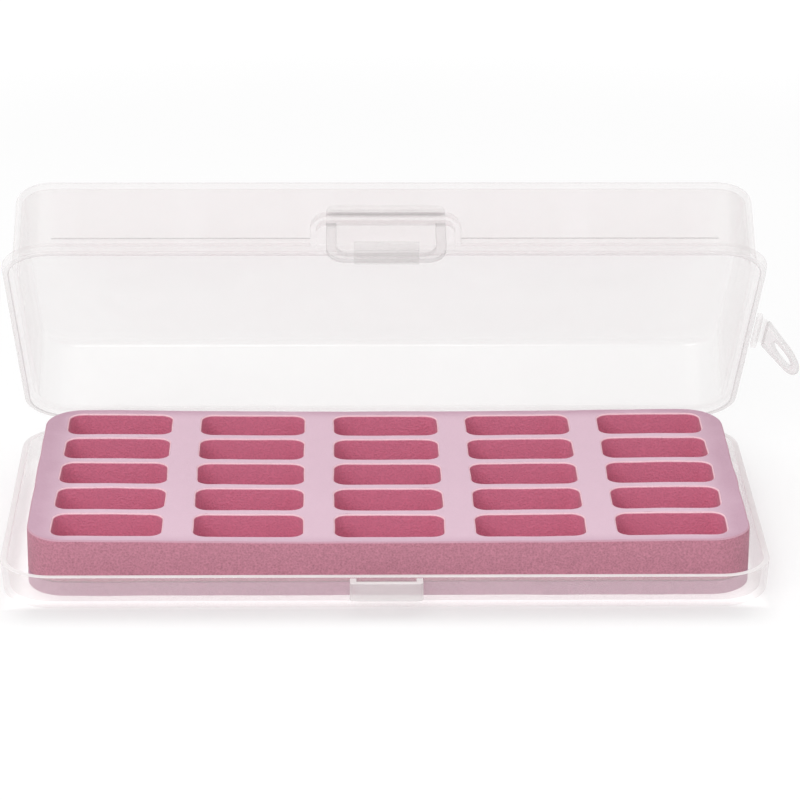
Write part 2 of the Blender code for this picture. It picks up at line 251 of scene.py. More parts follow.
# Camera, with its lens and sensor in millimetres
LENS = 164.223
SENSOR_WIDTH = 36.0
VIEW_TARGET = Vector((0.72 * MM, 0.0, 12.84 * MM))
VIEW_DISTANCE = 749.0 * MM
VIEW_SIDE = math.radians(1.033)
VIEW_RISE = math.radians(22.5)
VIEW_ROLL = math.radians(0.282)
AIM_SIDE = math.radians(0.19813)
AIM_LIFT = math.radians(1.12586)

LID_OPENING = math.radians(-joints["lid_hinge"]["range_deg"][0])
LATCH_SWING = math.radians(-joints["latch_hinge"]["range_deg"][0])
HINGE = Vector(joints["lid_hinge"]["pos_m"])
lid_place = Matrix.Translation(HINGE) @ Matrix.Rotation(-LID_OPENING, 4, "X")
latch_place = (
    lid_place
    @ Matrix.Translation((0, LATCH_FACE + FILM / 2, LATCH_AXIS_H))
    @ Matrix.Rotation(-LATCH_SWING, 4, "X")
)
tab_place = (
    lid_place
    @ Matrix.Translation((TAB_AXIS_X, -TAB_FROM_HINGE, TAB_AXIS_H))
    @ Matrix.Rotation(TAB_DROOP, 4, "Y")
)

UPRIGHT = Matrix.Rotation(math.radians(90), 4, "X")
SIDEWAYS = Matrix.Rotation(math.radians(90), 4, "Z") @ UPRIGHT


# ---------------------------------------------------------------- shader words


class Socket:
    """A node socket that takes part in Python arithmetic by adding Math nodes."""

    def __init__(self, finish, socket):
        self.finish = finish
        self.socket = socket

    def _math(self, operation, first, second):
        return self.finish.node("ShaderNodeMath", {"operation": operation}, {0: first, 1: second})[0]

    def __add__(self, other):
        return self._math("ADD", self, other)

    __radd__ = __add__

    def __sub__(self, other):
        return self._math("SUBTRACT", self, other)

    def __rsub__(self, other):
        return self._math("SUBTRACT", other, self)

    def __mul__(self, other):
        return self._math("MULTIPLY", self, other)

    __rmul__ = __mul__

    def __pow__(self, other):
        return self._math("POWER", self, other)

    def __abs__(self):
        return self._math("ABSOLUTE", self, 0.0)

    def larger(self, other):
        return self._math("MAXIMUM", self, other)

    def above(self, edge, softness):
        """0 well below the edge, 1 well above it, and a soft step between."""
        settings = {"interpolation_type": "SMOOTHSTEP"}
        values = {"Value": self, "From Min": edge - softness, "From Max": edge + softness}
        return self.finish.node("ShaderNodeMapRange", settings, values)["Result"]


class Outputs:
    """A node's outputs, by name or number, as Socket values."""

    def __init__(self, finish, node):
        self.finish = finish
        self.node = node

    def __getitem__(self, key):
        return Socket(self.finish, self.node.outputs[key])


class Finish:
    """A material and the words that its nodes are written in."""

    def __init__(self, name):
        self.material = bpy.data.materials.new(name)
        self.material.use_nodes = True
        self.tree = self.material.node_tree
        self.tree.nodes.clear()

    def node(self, kind, settings=None, values=None):
        made = self.tree.nodes.new(kind)
        for name, value in (settings or {}).items():
            setattr(made, name, value)
        for name, value in (values or {}).items():
            self.feed(made.inputs[name], value)
        return Outputs(self, made)

    def feed(self, socket, value):
        if isinstance(value, Socket):
            self.tree.links.new(value.socket, socket)
        else:
            socket.default_value = value

    def mix_colour(self, share, first, second, blend="MIX"):
        made = self.tree.nodes.new("ShaderNodeMix")
        made.data_type = "RGBA"
        made.blend_type = blend
        made.clamp_factor = True
        self.feed(made.inputs[0], share)
        for number, colour in ((6, first), (7, second)):
            self.feed(made.inputs[number], colour if isinstance(colour, Socket) else (*colour, 1.0))
        return Socket(self, made.outputs[2])

    def mix_shader(self, share, first, second):
        return self.node("ShaderNodeMixShader", None, {0: share, 1: first, 2: second})[0]

    def place_in_object(self):
        return self.node("ShaderNodeTexCoord")["Object"]

    def grain(self, where, size, detail=2.0, roughness=0.5, distortion=0.0):
        """Smooth noise with features about this size across, from 0 to 1."""
        values = {
            "Vector": where,
            "Scale": 1.0 / size,
            "Detail": detail,
            "Roughness": roughness,
            "Distortion": distortion,
        }
        return self.node("ShaderNodeTexNoise", None, values)["Fac"]

    def cells(self, where, size):
        """Distance from the middle of the nearest cell, with cells about this size across."""
        values = {"Vector": where, "Scale": 1.0 / size}
        return self.node("ShaderNodeTexVoronoi", None, values)["Distance"]

    def bumps(self, height, depth, strength):
        values = {"Height": height, "Distance": depth, "Strength": strength}
        return self.node("ShaderNodeBump", None, values)["Normal"]

    def surface(self, shader):
        self.node("ShaderNodeOutputMaterial", None, {"Surface": shader})
        return self.material


# ------------------------------------------------------------------- finishes


def clear_polypropylene(name, milk, edge_milk, white):
    """Milky clear moulded plastic: seen through, with a thin white haze and a soft gloss.

    The milk is the haze's share on a face seen square on; the edge milk is added as it turns away.
    """
    finish = Finish(name)
    where = finish.place_in_object()
    flow = finish.grain(where, 16.0 * MM, 2.0, 0.5, 0.6)
    fine = finish.grain(where, 1.6 * MM, 2.0, 0.5)
    skin = finish.bumps(flow * 0.7 + fine * 0.3, 0.008 * MM, 0.6)
    see_through = finish.node("ShaderNodeBsdfTransparent", None, {"Color": CLEAR_TINT})[0]
    front = (white, white * 0.99, white * 0.985, 1.0)
    haze_front = finish.node("ShaderNodeBsdfDiffuse", None, {"Color": front, "Normal": skin})[0]
    haze_back = finish.node("ShaderNodeBsdfTranslucent", None, {"Color": front, "Normal": skin})[0]
    haze = finish.mix_shader(HAZE_FROM_BEHIND, haze_front, haze_back)
    edge_on = finish.node("ShaderNodeLayerWeight", None, {"Blend": 0.5})["Facing"]
    share = milk * (0.85 + 0.3 * flow) + edge_milk * edge_on ** 3.0
    body = finish.mix_shader(share, see_through, haze)
    gloss = finish.node(
        "ShaderNodeBsdfGlossy",
        None,
        {"Color": (1.0, 1.0, 1.0, 1.0), "Roughness": 0.1 + 0.1 * flow, "Normal": skin},
    )[0]
    mirror = MIRROR_SQUARE_ON + MIRROR_EDGE_ON * edge_on ** 5.0
    return finish.surface(finish.mix_shader(mirror, body, gloss))


def shaded(colour, share):
    return tuple(min(1.0, part * share) for part in colour)


def pink_foam(name, cut, rim_tone_and_highlight, grit, skin=SKIN_PINK):
    """Fine open-cell foam: a pale pressed skin on top, deeper pink where it is cut."""
    finish = Finish(name)
    where = finish.place_in_object()
    facing = finish.node("ShaderNodeNewGeometry")["Normal"]
    upward = finish.node("ShaderNodeSeparateXYZ", None, {"Vector": facing})["Z"]
    cell = finish.cells(where, FOAM_CELL)
    crumb = finish.grain(where, FOAM_CELL, 3.0, 0.6)
    cloud = finish.grain(where, FOAM_CLOUD, 3.0, 0.55)
    on_top = upward.above(0.93, 0.05)
    on_rim = upward.above(0.35, 0.2) * (1 - on_top)
    speckle = (crumb - 0.5) * 0.55 + (cell - 0.45) * 0.35
    deep = finish.mix_colour(0.5 + speckle * grit, shaded(cut, 0.78), shaded(cut, 1.22))
    spot = finish.node("ShaderNodeSeparateXYZ", None, {"Vector": where})
    from_end = FOAM_HALF_LENGTH - abs(spot["X"] - FOAM_MIDDLE_X)
    from_side = FOAM_HALF_WIDTH - abs(spot["Y"])
    from_back = FOAM_HALF_WIDTH - spot["Y"]
    # Darker pink towards the ends, sides and back of the foam top.
    near_edge_share = (1 - from_end.above(5.5 * MM, 4.8 * MM)) + (1 - from_side.above(1.2 * MM, 2.8 * MM)) * 0.8
    near_edge_share = near_edge_share + (1 - from_back.above(3.5 * MM, 2.5 * MM)) * 0.5
    pale = finish.mix_colour(cloud, shaded(skin, 0.965), shaded(skin, 1.03))
    darker_edge_pink = tuple(part * share for part, share in zip(skin, EDGE_DARKENING_SHARES))
    pale = finish.mix_colour(near_edge_share * (0.5 + cloud), pale, darker_edge_pink)
    pale = finish.mix_colour(0.25 + speckle * 0.5, pale, shaded(skin, 0.9))
    colour = finish.mix_colour(on_top, deep, pale)
    # Colour of the bevels between top and sides; on slot foam, a painted highlight.
    colour = finish.mix_colour(on_rim * 0.9, colour, rim_tone_and_highlight)
    pores = finish.bumps(cell * (1 - on_top * 0.65) + crumb * 0.6, PORE_DEPTH, 0.7)
    foam = finish.node(
        "ShaderNodeBsdfPrincipled",
        None,
        {
            "Base Color": colour,
            "Roughness": 0.93 - on_top * 0.12,
            "Sheen Weight": 0.12,
            "Sheen Roughness": 0.5,
            "Specular IOR Level": 0.25,
            "Normal": pores,
        },
    )[0]
    return finish.surface(foam)


def studio_floor():
    finish = Finish("studio_floor_white")
    where = finish.place_in_object()
    drift = finish.grain(where, 0.6, 1.0)
    shade = finish.mix_colour(drift, (0.575, 0.575, 0.575), (0.595, 0.595, 0.595))
    away = finish.node("ShaderNodeVectorMath", {"operation": "LENGTH"}, {0: where})["Value"]
    spot = finish.node("ShaderNodeSeparateXYZ", None, {"Vector": where})
    beside_end = abs(spot["X"]) - CASE_WIDTH / 2
    beside_side = abs(spot["Y"]) - CASE_DEPTH / 2
    beside = beside_end.larger(beside_side)
    outside = beside.above(-3.0 * MM, 3.0 * MM)
    # Painted shadow: a band of weaker glow in front of the case, fading towards its ends.
    painted_shadow_share = (1 - beside_side.above(5.5 * MM, 4.0 * MM)) * (0 - spot["Y"]).above(34.0 * MM, 6.0 * MM)
    painted_shadow_share = painted_shadow_share * (1 - beside_end.above(-3.0 * MM, 6.0 * MM))
    glow = finish.mix_colour(painted_shadow_share, (FLOOR_GLOW,) * 3, (PAINTED_SHADOW_GLOW,) * 3)
    # Painted pool of light: more glow on the floor under the case.
    glow = finish.mix_colour(outside, (PAINTED_LIGHT_UNDER_CASE,) * 3, glow)
    glow = finish.mix_colour(away.above(0.5, 0.22), glow, (FAR_GLOW,) * 3)
    card = finish.node(
        "ShaderNodeBsdfPrincipled",
        None,
        {
            "Base Color": shade,
            "Roughness": 0.9,
            "Specular IOR Level": 0.1,
            "Emission Color": glow,
            "Emission Strength": 1.0,
        },
    )[0]
    return finish.surface(card)


# --------------------------------------------------------------------- shapes


def rounded_outline(width, depth, radius, steps, centre=(0.0, 0.0)):
    """Points of a rounded rectangle, counter-clockwise from its right side."""
    radius = max(radius, 0.0003)
    points = []
    for side_x, side_y, start in ((1, 1, 0), (-1, 1, 90), (-1, -1, 180), (1, -1, 270)):
        middle_x = centre[0] + side_x * (width / 2 - radius)
        middle_y = centre[1] + side_y * (depth / 2 - radius)
        for step in range(steps + 1):
            angle = math.radians(start + 90 * step / steps)
            points.append((middle_x + radius * math.cos(angle), middle_y + radius * math.sin(angle)))
    return points


def filleted(corners, steps=5):
    """A profile with a small arc at each corner that asks for one: (across, up, radius)."""
    points = []
    for number, (across, up, radius) in enumerate(corners):
        here = Vector((across, up))
        if radius <= 0 or number in (0, len(corners) - 1):
            points.append(here)
            continue
        before = Vector(corners[number - 1][:2])
        after = Vector(corners[number + 1][:2])
        to_before = (before - here).normalized()
        to_after = (after - here).normalized()
        half = to_before.angle(to_after) / 2
        reach = min(
            radius / math.tan(half), (before - here).length * 0.49, (after - here).length * 0.49
        )
        true_radius = reach * math.tan(half)
        middle = here + (to_before + to_after).normalized() * (true_radius / math.sin(half))
        start = here + to_before * reach - middle
        turn = (here + to_after * reach - middle).angle_signed(start)
        for step in range(steps + 1):
            spin = Matrix.Rotation(turn * step / steps, 2)
            points.append(middle + spin @ start)
    return [(point.x, point.y) for point in points]


class Plastic:
    """A moulding's looks: broad faces; rims and cut edges in painted rim shading, a denser haze that is a
    painted white highlight on the tray and greyer painted shade on the other mouldings; and painted shade
    lines, grey haze along its corners.
    """

    def __init__(self, name, milk, edge_milk, rim_shading_milk=0.2, rim_shading_white=0.93, face_white=FACE_WHITE):
        self.face = clear_polypropylene(name, milk, edge_milk, face_white)
        self.edge = clear_polypropylene(name + "_painted_rim_shading", rim_shading_milk, edge_milk, rim_shading_white)
        self.line = clear_polypropylene(name + "_painted_shade_line", SHADE_LINE_MILK, edge_milk, SHADE_LINE_WHITE)


def finished_object(name, work, material, place=None, smooth_angle=40.0):
    bmesh.ops.recalc_face_normals(work, faces=work.faces)
    mesh = bpy.data.meshes.new(name)
    work.to_mesh(mesh)
    work.free()
    made = bpy.data.objects.new(name, mesh)
    bpy.context.scene.collection.objects.link(made)
    if isinstance(material, Plastic):
        mesh.materials.append(material.face)
        mesh.materials.append(material.edge)
        mesh.materials.append(material.line)
    else:
        mesh.materials.append(material)
    if place is not None:
        mesh.transform(place)
    shade_smooth(made, smooth_angle)
    return made


def shade_smooth(piece, angle=40.0):
    piece.data.polygons.foreach_set("use_smooth", [True] * len(piece.data.polygons))
    piece.data.set_sharp_from_angle(angle=math.radians(angle))
    flats = piece.modifiers.new("flat_faces", "WEIGHTED_NORMAL")
    flats.keep_sharp = True


def moulded_box(name, profile, material, centre_y, look):
    """A closed moulding swept round the case's outline: each profile point is (inset, height).

    The look is asked which of the plastic's looks a face has, from its inset and height: broad face, painted
    rim shading, painted shade line.
    """
    work = bmesh.new()
    rings = []
    for inset, height in profile:
        outline = rounded_outline(
            CASE_WIDTH - 2 * inset,
            CASE_DEPTH - 2 * inset,
            CASE_CORNER - inset,
            CORNER_STEPS,
            (0.0, centre_y),
        )
        rings.append([work.verts.new((x, y, height)) for x, y in outline])
    for number, (first, second) in enumerate(zip(rings, rings[1:])):
        start, end = profile[number], profile[number + 1]
        index = look((start[0] + end[0]) / 2, (start[1] + end[1]) / 2)
        for i in range(len(first)):
            face = work.faces.new((first[i - 1], first[i], second[i], second[i - 1]))
            face.material_index = index
    work.faces.new(rings[0])
    work.faces.new(rings[-1])
    return finished_object(name, work, material)


def moulded_plate(name, outlines, thickness, edge, material, place, turn=None):
    """A flat moulding with softly rounded edges; outlines after the first are holes."""
    curve = bpy.data.curves.new(name, "CURVE")
    curve.dimensions = "2D"
    curve.fill_mode = "BOTH"
    curve.extrude = thickness / 2 - edge
    curve.bevel_depth = edge
    curve.bevel_resolution = 3
    curve.offset = -edge
    for outline in outlines:
        spline = curve.splines.new("POLY")
        spline.points.add(len(outline) - 1)
        for point, (x, y) in zip(spline.points, outline):
            point.co = (x, y, 0.0, 1.0)
        spline.use_cyclic_u = True
    source = bpy.data.objects.new(name + "_outline", curve)
    bpy.context.scene.collection.objects.link(source)
    evaluated = source.evaluated_get(bpy.context.evaluated_depsgraph_get())
    mesh = bpy.data.meshes.new_from_object(evaluated)
    bpy.data.objects.remove(source, do_unlink=True)
    work = bmesh.new()
    work.from_mesh(mesh)
    bmesh.ops.remove_doubles(work, verts=work.verts, dist=0.000005)
    # Faces turned away from the plate's flat sides get the painted rim shading.
    if isinstance(material, Plastic):
        work.normal_update()
        for face in work.faces:
            face.material_index = abs(face.normal.z) < 0.75
    if turn is not None:
        bmesh.ops.transform(work, matrix=turn, verts=work.verts)
    return finished_object(name, work, material, place)


def soft_block(name, low, high, edge, material, place=None, segments=3):
    """A moulded block between two corners, with every edge rounded."""
    work = bmesh.new()
    bmesh.ops.create_cube(work, size=1.0)
    size = Vector(high) - Vector(low)
    bmesh.ops.scale(work, vec=size, verts=work.verts)
    bmesh.ops.translate(work, vec=(Vector(high) + Vector(low)) / 2, verts=work.verts)
    bmesh.ops.bevel(
        work, geom=list(work.edges), offset=edge, segments=segments, profile=0.5, affect="EDGES"
    )
    return finished_object(name, work, material, place)


def film_strip(name, path, thickness, width, along, material, place):
    """A thin living hinge: a path in one plane, given thickness, drawn out along the fold."""
    work = bmesh.new()
    count = len(path)
    rings = []
    for number, (across, up) in enumerate(path):
        before = Vector(path[max(number - 1, 0)])
        after = Vector(path[min(number + 1, count - 1)])
        ahead = (after - before).normalized()
        side = Vector((-ahead.y, ahead.x)) * (thickness / 2)
        ring = []
        for end in (-1, 1):
            for offset in (side, -side):
                spot = Vector((across, up)) + offset
                ring.append(along(spot.x, spot.y, end * width / 2))
        rings.append([work.verts.new(ring[k]) for k in (0, 1, 3, 2)])
    for first, second in zip(rings, rings[1:]):
        for i in range(4):
            work.faces.new((first[i - 1], first[i], second[i], second[i - 1]))
    work.faces.new(rings[0])
    work.faces.new(rings[-1])
    return finished_object(name, work, material, place, 60.0)


# --------------------------------------------------------------------- pieces


def make_tray(clear):
    profile = filleted(
        [
            (BROAD_RING, 0.0, 0),
            (TRAY_DRAFT, 0.0, TRAY_FOOT_ROUND),
            (0.0, TRAY_HEIGHT, TRAY_RIM_ROUND),
            (TRAY_WALL, TRAY_HEIGHT, TRAY_RIM_ROUND),
            (TRAY_WALL + TRAY_DRAFT, TRAY_FLOOR, TRAY_INNER_ROUND),
            (BROAD_RING, TRAY_FLOOR, 0),
        ]
    )

    # The top of the rim gets the painted rim shading, here a painted white highlight line.
    def look(inset, height):
        return PAINTED_RIM_SHADING if height > TRAY_HEIGHT - TRAY_RIM_HIGHLIGHT_DEPTH and inset > ROOT_SINK else BROAD

    tray = moulded_box("tray_shell", profile, clear, 0.0, look)
    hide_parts("base_tray")
    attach(tray, "tray")
    for side, x in (("left", -LEDGE_SPACING / 2), ("right", LEDGE_SPACING / 2)):
        ledge = soft_block(
            "tray_hinge_ledge_" + side,
            (x - LEDGE_WIDTH / 2, CASE_DEPTH / 2 - LEDGE_SINK, TRAY_HEIGHT - LEDGE_THICKNESS),
            (x + LEDGE_WIDTH / 2, HINGE.y - LEDGE_GAP, TRAY_HEIGHT),
            LEDGE_EDGE,
            clear,
        )
        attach(ledge, "tray")
    return tray


def make_catch(clear):
    half = CATCH_HALF
    inner = half - CATCH_POST
    wall = -CASE_DEPTH / 2 - CONTACT_SINK
    front = -CASE_DEPTH / 2 - CATCH_REACH
    bar_back = front + CATCH_BAR
    outline = [
        (-half, wall),
        (-half, front + CATCH_CHAMFER),
        (-half + CATCH_CHAMFER, front),
        (half - CATCH_CHAMFER, front),
        (half, front + CATCH_CHAMFER),
        (half, wall),
        (inner, wall),
        (inner, bar_back),
        (-inner, bar_back),
        (-inner, wall),
    ]
    middle = TRAY_HEIGHT - CATCH_BELOW_RIM - CATCH_HEIGHT / 2
    place = Matrix.Translation((0, 0, middle))
    catch = moulded_plate("tray_catch", [outline], CATCH_HEIGHT, CATCH_EDGE, clear, place)
    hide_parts("base_catch")
    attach(catch, "tray")
    return catch


def arched_outline(half_width, bottom, top, corner, steps=10):
    """Square at the bottom, rounded at its two upper corners."""
    points = [(-half_width, bottom), (half_width, bottom)]
    for side, start in ((1, 0), (-1, 90)):
        for step in range(steps + 1):
            angle = math.radians(start + 90 * step / steps)
            x = side * (half_width - corner) + corner * math.cos(angle)
            points.append((x, top - corner + corner * math.sin(angle)))
    return points


def boss_pad(clear):
    """The pad that carries the latch, level with the lip, and the hollow moulded behind it."""
    low = LIP_TOP - PAD_BELOW_LIP
    pad_back = LID_FRONT + LIP_STEP + LID_WALL / 2
    outer = arched_outline(BOSS_HALF, low, BOSS_TOP, BOSS_SHOULDER)
    pad_place = Matrix.Translation((0, (pad_back + LID_FRONT) / 2, 0))
    pad = moulded_plate("boss_pad", [outer], pad_back - LID_FRONT, PAD_EDGE, clear, pad_place, UPRIGHT)
    front = LID_FRONT + LID_WALL
    back = LID_FRONT + LIP_STEP + 2 * LID_WALL
    inner = arched_outline(
        BOSS_HALF - LID_WALL, LID_RIM + LIP_ROUND, BOSS_TOP - LID_WALL, BOSS_SHOULDER - LID_WALL
    )
    hollow_place = Matrix.Translation((0, (back + front) / 2, 0))
    hollow = moulded_plate("boss_hollow", [inner], back - front, HOLLOW_EDGE, clear, hollow_place, UPRIGHT)
    return pad, hollow


def carve(piece, tool, operation):
    """Adds the tool to the piece or takes it away, leaving one closed moulding."""
    for modifier in list(piece.modifiers) + list(tool.modifiers):
        modifier.id_data.modifiers.remove(modifier)
    step = piece.modifiers.new("carve", "BOOLEAN")
    step.operation = operation
    step.solver = "EXACT"
    step.object = tool
    evaluated = piece.evaluated_get(bpy.context.evaluated_depsgraph_get())
    mesh = bpy.data.meshes.new_from_object(evaluated)
    piece.modifiers.remove(step)
    piece.data = mesh
    bpy.data.objects.remove(tool, do_unlink=True)
    shade_smooth(piece)


def arch_sides(lid):
    """Gives the painted rim shading to the narrow walls round the boss, where the plastic is seen edge on."""
    for face in lid.data.polygons:
        middle = face.center
        on_pad = middle.y < LID_FRONT + LIP_STEP and middle.z > LIP_TOP
        if on_pad and abs(middle.x) <= BOSS_HALF and abs(face.normal.y) < 0.75:
            face.material_index = PAINTED_RIM_SHADING


def make_lid(clear):
    side = LIP_STEP + LID_DRAFT
    inner_side = side + LID_WALL
    inner_top = LID_TOP - LID_WALL
    profile = filleted(
        [
            (LID_RING, LID_TOP, 0),
            (side, LID_TOP, LID_TOP_ROUND),
            (LIP_STEP, LIP_TOP, LIP_ROOT_ROUND),
            (0.0, LIP_TOP, LIP_CORNER_ROUND),
            (LIP_LEAN, LID_RIM, RIM_OUTER_ROUND),
            (LID_WALL + LIP_LEAN, LID_RIM, RIM_INNER_ROUND),
            (LID_WALL + LIP_INNER_LEAN, LIP_TOP - LID_WALL, LIP_INNER_ROUND),
            (LIP_STEP + LID_WALL, LIP_TOP - LID_WALL, LIP_INNER_ROUND),
            (inner_side, inner_top, LID_INNER_ROUND),
            (LID_RING, inner_top, 0),
        ]
    )

    # The lowest band of the lip gets painted rim shading, its inner edge a painted shade line.
    def look(inset, height):
        if height > LID_RIM + RIM_SHADING_HEIGHT:
            return BROAD
        return PAINTED_SHADE_LINE if inset > LID_WALL + LIP_LEAN - SHADE_LINE_WIDTH else PAINTED_RIM_SHADING

    lid = moulded_box("lid_cover", profile, clear, LID_MIDDLE, look)
    pad, hollow = boss_pad(clear)
    carve(lid, pad, "UNION")
    carve(lid, hollow, "DIFFERENCE")
    arch_sides(lid)
    lid.data.transform(lid_place)
    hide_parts("lid_shell")
    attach(lid, "lid")
    slope = LID_DRAFT / (LID_TOP - LIP_TOP)
    seam_face = LID_FRONT + LIP_STEP + slope * SEAM_HEIGHT
    seam_end = CASE_WIDTH / 2 - CASE_CORNER
    seam_low = LIP_TOP + SEAM_HEIGHT - SEAM_WIDTH / 2
    # The seam ridges take the grey of the painted shade line.
    for name, near, far in (("left", -seam_end, -BOSS_HALF), ("right", BOSS_HALF, seam_end)):
        seam = soft_block(
            "lid_seam_" + name,
            (near, seam_face - SEAM_PROUD, seam_low),
            (far, seam_face + SEAM_PROUD, seam_low + SEAM_WIDTH),
            SEAM_EDGE,
            clear.line,
            lid_place,
            2,
        )
        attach(seam, "lid")
    for name, x in (("left", -LEDGE_SPACING / 2), ("right", LEDGE_SPACING / 2)):
        ledge = soft_block(
            "lid_hinge_ledge_" + name,
            (x - LEDGE_WIDTH / 2, -HINGE_REACH - LEDGE_SINK, LID_RIM),
            (x + LEDGE_WIDTH / 2, -LEDGE_GAP, LID_RIM + LEDGE_THICKNESS),
            LEDGE_EDGE,
            clear,
            lid_place,
        )
        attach(ledge, "lid")
    return lid


def make_hinge_films(clear):
    radius = FILM_RADIUS
    for side, x in (("left", -LEDGE_SPACING / 2), ("right", LEDGE_SPACING / 2)):
        start = -math.pi / 2
        finish = math.pi / 2 - LID_OPENING
        path = [(-FILM_TAIL, -radius)]
        steps = 14
        for step in range(steps + 1):
            angle = start + (finish - start) * step / steps
            path.append((radius * math.cos(angle), radius * math.sin(angle)))
        end = Vector((radius * math.cos(finish), radius * math.sin(finish)))
        inward = Vector((-math.sin(finish), math.cos(finish)))
        path.append(tuple(end + inward * FILM_TAIL))

        def along(across, up, out, x=x):
            return (x + out, across, up)

        film = film_strip(
            "hinge_film_" + side + "_fold",
            path,
            FILM,
            LEDGE_WIDTH - FILM_SHORTER,
            along,
            clear,
            Matrix.Translation(HINGE),
        )
        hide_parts("hinge_film_" + side)
        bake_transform(film)


def lower_corners(half_width, bottom, corner, steps=12):
    """The bottom edge of a bow, from its left side round both corners to its right side."""
    points = []
    for side, start in ((-1, 180), (1, 270)):
        for step in range(steps + 1):
            angle = math.radians(start + 90 * step / steps)
            x = side * (half_width - corner) + corner * math.cos(angle)
            points.append((x, bottom + corner + corner * math.sin(angle)))
    return points


def u_outline(outer, inner, top, hook, bottom):
    """Two legs joined by a cross bar below, rounded inside and out."""
    return (
        [(-outer, top)]
        + lower_corners(outer, bottom, BAIL_OUTER_CORNER)
        + [(outer, top), (inner, top)]
        + lower_corners(inner, hook, BAIL_INNER_CORNER)[::-1]
        + [(-inner, top)]
    )


def make_latch(clear, bail_clear, film_clear):
    bar_back = LID_FRONT + BAR_SINK
    bar_outline = arched_outline(
        BAIL_HALF, LATCH_AXIS_H + ROOT_BAR_LOW, LATCH_AXIS_H + ROOT_BAR_HIGH, ROOT_BAR_CORNER
    )
    bar = moulded_plate(
        "latch_boss_bar",
        [bar_outline],
        bar_back - LATCH_FACE,
        BAR_EDGE,
        film_clear,
        lid_place @ Matrix.Translation((0, (bar_back + LATCH_FACE) / 2, 0)),
        UPRIGHT,
    )
    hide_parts("lid_latch_boss")
    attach(bar, "lid")

    back = BAIL_THICKNESS - FILM / 2
    u_frame = u_outline(BAIL_HALF, BAIL_HALF - BAIL_LEG, -BAIL_HEAD, -BAIL_HOOK, -BAIL_LENGTH)
    bail = moulded_plate(
        "bail_flap",
        [u_frame],
        BAIL_THICKNESS,
        BAIL_EDGE,
        bail_clear,
        latch_place @ Matrix.Translation((0, back - BAIL_THICKNESS / 2, 0)),
        UPRIGHT,
    )
    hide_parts("latch_flap")
    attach(bail, "latch")
    head = soft_block(
        "bail_head_plate",
        (-BAIL_HALF, -FILM / 2, -BAIL_HEAD - HEAD_SINK),
        (BAIL_HALF, BAIL_HEAD_THICKNESS - FILM / 2, -HEAD_BELOW_AXIS),
        HEAD_EDGE,
        film_clear,
        latch_place,
    )
    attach(head, "latch")

    grip_back = -FILM / 2 - CONTACT_SINK
    grip_front = grip_back - GRIP_REACH
    low = -BAIL_LENGTH + GRIP_SLANT
    high = -BAIL_HOOK - 0.2 * MM
    under_bar = -BAIL_LENGTH - 0.05 * MM
    outline = [
        (grip_back, high),
        (grip_back, under_bar),
        (back, under_bar),
        (back, under_bar - GRIP_RIB),
        (grip_back, under_bar - GRIP_RIB),
        (grip_back - GRIP_SLANT, low),
    ]
    for rib in range(GRIP_RIBS):
        start = grip_back - GRIP_REACH * (rib + 0.35) / GRIP_RIBS
        end = grip_back - GRIP_REACH * (rib + 0.75) / GRIP_RIBS
        outline += [
            (start, low),
            (start - GRIP_SLANT, low - GRIP_RIB),
            (end + GRIP_SLANT, low - GRIP_RIB),
            (end, low),
        ]
    outline += [(grip_front, low), (grip_front, high + 0.3 * MM)]
    grip = moulded_plate("bail_grip", [outline], 2 * GRIP_HALF, GRIP_EDGE, clear, latch_place, SIDEWAYS)
    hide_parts("latch_grip")
    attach(grip, "latch")

    path = [(0.0, LATCH_FILM_TAIL), (0.0, 0.45 * MM)]
    steps = 8
    for step in range(steps + 1):
        turn = LATCH_SWING * step / steps
        reach = LATCH_FILM_BEND * (1 - 2 * step / steps)
        if reach >= 0:
            path.append((-abs(reach) * math.sin(turn) * 0.5, reach))
        else:
            path.append((reach * math.sin(turn), reach * math.cos(turn)))
    path.append((-LATCH_FILM_TAIL * math.sin(LATCH_SWING), -LATCH_FILM_TAIL * math.cos(LATCH_SWING)))

    def along(across, up, out):
        return (out, across, up)

    axis_place = lid_place @ Matrix.Translation((0, LATCH_FACE + FILM / 2, LATCH_AXIS_H))
    film = film_strip(
        "latch_fold", path, FILM, 2 * BAIL_HALF - LATCH_FILM_SHORTER, along, film_clear, axis_place
    )
    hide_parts("latch_film")
    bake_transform(film)


